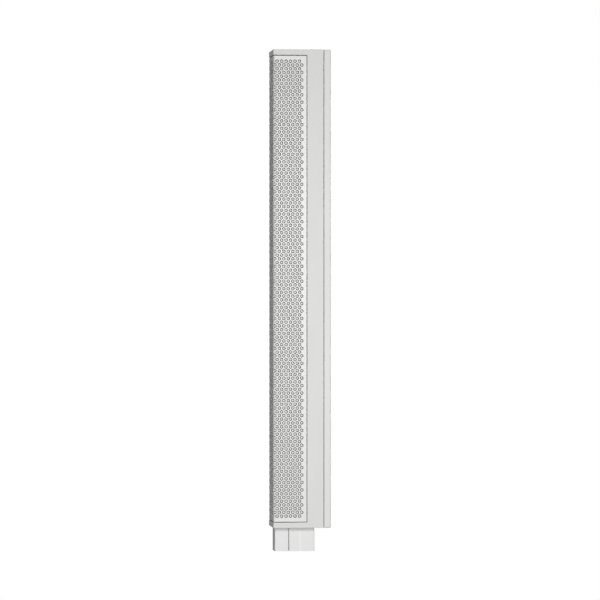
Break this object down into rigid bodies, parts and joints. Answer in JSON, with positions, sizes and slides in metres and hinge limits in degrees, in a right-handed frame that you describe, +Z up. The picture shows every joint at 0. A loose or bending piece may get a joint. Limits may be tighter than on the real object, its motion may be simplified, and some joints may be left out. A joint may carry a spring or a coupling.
{
  "type": "column loudspeaker",
  "caption": "Tall slim white column loudspeaker with a wrap-round perforated grille and a rectangular plug-in spigot under its base.",
  "frame": {"origin": "centre of the spigot in the plane of the column's underside", "axes": "+Z up the column, -Y out of the grille's front, +X to the column's left as it faces the audience"},
  "size_m": [0.097, 0.1252, 1.0867],
  "materials": {
    "housing": "fine moulded texture, off-white",
    "grille": "powder-coated perforated steel, white",
    "cloth": "thin woven acoustic cloth, off-white",
    "spigot": "fine moulded texture, off-white",
    "seal": "soft black rubber",
    "foam": "open-cell dark grey foam",
    "fastener": "zinc-plated steel",
    "insulator": "glass-filled nylon, black",
    "contact": "gold-flashed brass",
    "board": "green solder mask on glass laminate",
    "winding": "enamelled copper wire",
    "capacitor": "heat-shrink sleeve, dark",
    "wire": "flexible black jacket",
    "basket": "black painted pressed steel",
    "magnet": "ferrite ring between zinc-plated plates",
    "cone": "mineral-filled polypropylene, dark grey",
    "surround": "butyl rubber",
    "spider": "resin-treated woven cotton"
  },
  "bodies": {
    "cabinet": {"front_shell": "housing", "rear_cover": "housing", "rear_cover_seal": "seal", "rear_cover_screws": "fastener", "grille": "grille", "grille_cloth": "cloth", "grille_foam_strips": "foam", "spigot_front_half": "spigot", "spigot_rear_half": "spigot", "spigot_gasket": "seal", "spigot_screws": "fastener", "connector_housing": "insulator", "connector_contacts": "contact", "driver_gaskets": "foam", "driver_screws": "fastener", "filter_board": "board", "filter_coil": "winding", "filter_capacitors": "capacitor", "damping_foam": "foam", "wiring_loom": "wire", "driver_1_basket": "basket", "driver_1_motor": "magnet", "driver_2_basket": "basket", "driver_2_motor": "magnet", "driver_3_basket": "basket", "driver_3_motor": "magnet", "driver_4_basket": "basket", "driver_4_motor": "magnet", "driver_5_basket": "basket", "driver_5_motor": "magnet", "driver_6_basket": "basket", "driver_6_motor": "magnet", "driver_7_basket": "basket", "driver_7_motor": "magnet", "driver_8_basket": "basket", "driver_8_motor": "magnet"},
    "cone_1": {"driver_1_cone": "cone", "driver_1_surround": "surround", "driver_1_spider": "spider"},
    "cone_2": {"driver_2_cone": "cone", "driver_2_surround": "surround", "driver_2_spider": "spider"},
    "cone_3": {"driver_3_cone": "cone", "driver_3_surround": "surround", "driver_3_spider": "spider"},
    "cone_4": {"driver_4_cone": "cone", "driver_4_surround": "surround", "driver_4_spider": "spider"},
    "cone_5": {"driver_5_cone": "cone", "driver_5_surround": "surround", "driver_5_spider": "spider"},
    "cone_6": {"driver_6_cone": "cone", "driver_6_surround": "surround", "driver_6_spider": "spider"},
    "cone_7": {"driver_7_cone": "cone", "driver_7_surround": "surround", "driver_7_spider": "spider"},
    "cone_8": {"driver_8_cone": "cone", "driver_8_surround": "surround", "driver_8_spider": "spider"}
  },
  "joints": [
    {"name": "cone_1_slide", "type": "slide", "parent": "cabinet", "child": "cone_1", "axis": [0, 1, 0], "range_m": [-0.003, 0.003], "stiffness_N_per_m": 1600, "deforming": ["driver_1_surround", "driver_1_spider"]},
    {"name": "cone_2_slide", "type": "slide", "parent": "cabinet", "child": "cone_2", "axis": [0, 1, 0], "range_m": [-0.003, 0.003], "stiffness_N_per_m": 1600, "deforming": ["driver_2_surround", "driver_2_spider"]},
    {"name": "cone_3_slide", "type": "slide", "parent": "cabinet", "child": "cone_3", "axis": [0, 1, 0], "range_m": [-0.003, 0.003], "stiffness_N_per_m": 1600, "deforming": ["driver_3_surround", "driver_3_spider"]},
    {"name": "cone_4_slide", "type": "slide", "parent": "cabinet", "child": "cone_4", "axis": [0, 1, 0], "range_m": [-0.003, 0.003], "stiffness_N_per_m": 1600, "deforming": ["driver_4_surround", "driver_4_spider"]},
    {"name": "cone_5_slide", "type": "slide", "parent": "cabinet", "child": "cone_5", "axis": [0, 1, 0], "range_m": [-0.003, 0.003], "stiffness_N_per_m": 1600, "deforming": ["driver_5_surround", "driver_5_spider"]},
    {"name": "cone_6_slide", "type": "slide", "parent": "cabinet", "child": "cone_6", "axis": [0, 1, 0], "range_m": [-0.003, 0.003], "stiffness_N_per_m": 1600, "deforming": ["driver_6_surround", "driver_6_spider"]},
    {"name": "cone_7_slide", "type": "slide", "parent": "cabinet", "child": "cone_7", "axis": [0, 1, 0], "range_m": [-0.003, 0.003], "stiffness_N_per_m": 1600, "deforming": ["driver_7_surround", "driver_7_spider"]},
    {"name": "cone_8_slide", "type": "slide", "parent": "cabinet", "child": "cone_8", "axis": [0, 1, 0], "range_m": [-0.003, 0.003], "stiffness_N_per_m": 1600, "deforming": ["driver_8_surround", "driver_8_spider"]}
  ]
}
